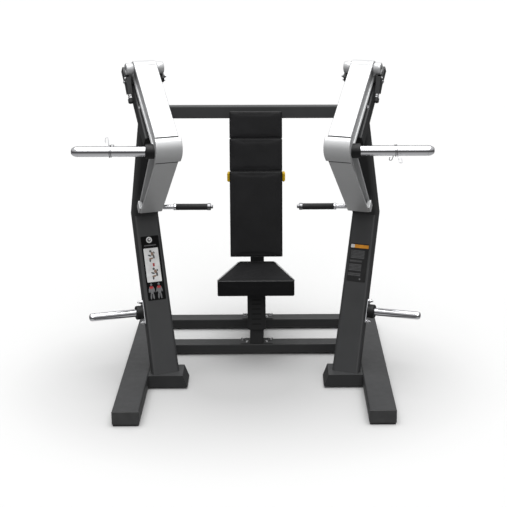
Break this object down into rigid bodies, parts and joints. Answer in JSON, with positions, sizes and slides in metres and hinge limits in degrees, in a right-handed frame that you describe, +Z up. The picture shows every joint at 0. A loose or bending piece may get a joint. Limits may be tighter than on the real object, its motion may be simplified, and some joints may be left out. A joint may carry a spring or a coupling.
{
  "type": "plate-loaded press machine",
  "caption": "Plate-loaded converging press machine: steel frame with floor skids, overhead-pivoted swinging arms with weight horns and handles, height-adjustable seat and sliding backrest.",
  "frame": {"origin": "on the floor, at the middle of the machine footprint", "axes": "+Z up, the seated user faces -Y, +X to the right seen from the front of the machine"},
  "size_m": [1.684, 1.28, 1.6113],
  "materials": {
    "frame_paint": "fine satin powder coat, charcoal",
    "silver_paint": "smooth silver-white powder coat",
    "machined_steel": "turned and polished steel",
    "chrome_plate": "bright chrome plating",
    "black_plastic": "moulded black nylon",
    "black_rubber": "matt black rubber",
    "upholstery": "black synthetic leather over foam",
    "yellow_plastic": "yellow moulded grip over steel"
  },
  "bodies": {
    "root": {"backrest_post": "frame_paint", "centre_spine": "frame_paint", "front_crossbar": "frame_paint", "left_foot_box": "frame_paint", "left_head_beam": "frame_paint", "left_pivot_axle": "machined_steel", "left_pivot_yoke": "frame_paint", "left_skid": "frame_paint", "left_skid_front_cap": "black_plastic", "left_skid_rear_cap": "black_plastic", "left_skid_rubber_foot": "black_rubber", "left_stop_bumper": "black_rubber", "left_storage_peg": "chrome_plate", "left_storage_peg_collar": "black_plastic", "left_top_link": "frame_paint", "left_upright_lower": "frame_paint", "left_upright_upper": "frame_paint", "rear_crossbar": "frame_paint", "right_foot_box": "frame_paint", "right_head_beam": "frame_paint", "right_pivot_axle": "machined_steel", "right_pivot_yoke": "frame_paint", "right_skid": "frame_paint", "right_skid_front_cap": "black_plastic", "right_skid_rear_cap": "black_plastic", "right_skid_rubber_foot": "black_rubber", "right_stop_bumper": "black_rubber", "right_storage_peg": "chrome_plate", "right_storage_peg_collar": "black_plastic", "right_top_link": "frame_paint", "right_upright_lower": "frame_paint", "right_upright_upper": "frame_paint", "seat_post": "frame_paint", "top_crossbar": "frame_paint"},
    "left_arm": {"left_arm_lower": "silver_paint", "left_arm_upper": "silver_paint", "left_elbow_cover": "silver_paint", "left_grip": "black_rubber", "left_handle_rod": "chrome_plate", "left_horn_collar": "black_plastic", "left_weight_horn": "chrome_plate"},
    "right_arm": {"right_arm_lower": "silver_paint", "right_arm_upper": "silver_paint", "right_elbow_cover": "silver_paint", "right_grip": "black_rubber", "right_handle_rod": "chrome_plate", "right_horn_collar": "black_plastic", "right_weight_horn": "chrome_plate"},
    "left_clip": {"left_spring_clip": "chrome_plate"},
    "right_clip": {"right_spring_clip": "chrome_plate"},
    "seat": {"seat_pad": "upholstery", "seat_sleeve": "frame_paint"},
    "seat_pin": {"seat_lock_pin": "black_plastic"},
    "backrest": {"backrest_pad_lower": "upholstery", "backrest_pad_middle": "upholstery", "backrest_pad_upper": "upholstery", "backrest_plate": "frame_paint", "backrest_slide_lower": "machined_steel", "backrest_slide_upper": "machined_steel"},
    "release_lever": {"backrest_release_lever": "yellow_plastic"}
  },
  "joints": [
    {"name": "left_arm_press", "type": "hinge", "parent": "root", "child": "left_arm", "pos_m": [-0.53203, 0.03189, 1.575], "axis": [-0.9397, -0.342, 0], "range_deg": [0, 45]},
    {"name": "right_arm_press", "type": "hinge", "parent": "root", "child": "right_arm", "pos_m": [0.53203, 0.03189, 1.575], "axis": [-0.9397, 0.342, 0], "range_deg": [0, 45]},
    {"name": "left_clip_slide", "type": "slide", "parent": "left_arm", "child": "left_clip", "axis": [-1, 0, 0], "range_m": [-0.13, 0.13]},
    {"name": "right_clip_slide", "type": "slide", "parent": "right_arm", "child": "right_clip", "axis": [1, 0, 0], "range_m": [-0.13, 0.13]},
    {"name": "seat_height", "type": "slide", "parent": "root", "child": "seat", "axis": [0, 0, 1], "range_m": [-0.076, 0.028]},
    {"name": "seat_pin_pull", "type": "slide", "parent": "seat", "child": "seat_pin", "axis": [0, 1, 0], "range_m": [0, 0.01], "stiffness_N_per_m": 600},
    {"name": "backrest_depth", "type": "slide", "parent": "root", "child": "backrest", "axis": [0, -1, 0], "range_m": [0, 0.05]},
    {"name": "release_lever_lift", "type": "hinge", "parent": "backrest", "child": "release_lever", "pos_m": [0, 0.50394, 0.91588], "axis": [-1, 0, 0], "range_deg": [0, 18], "stiffness_Nm_per_rad": 4}
  ]
}
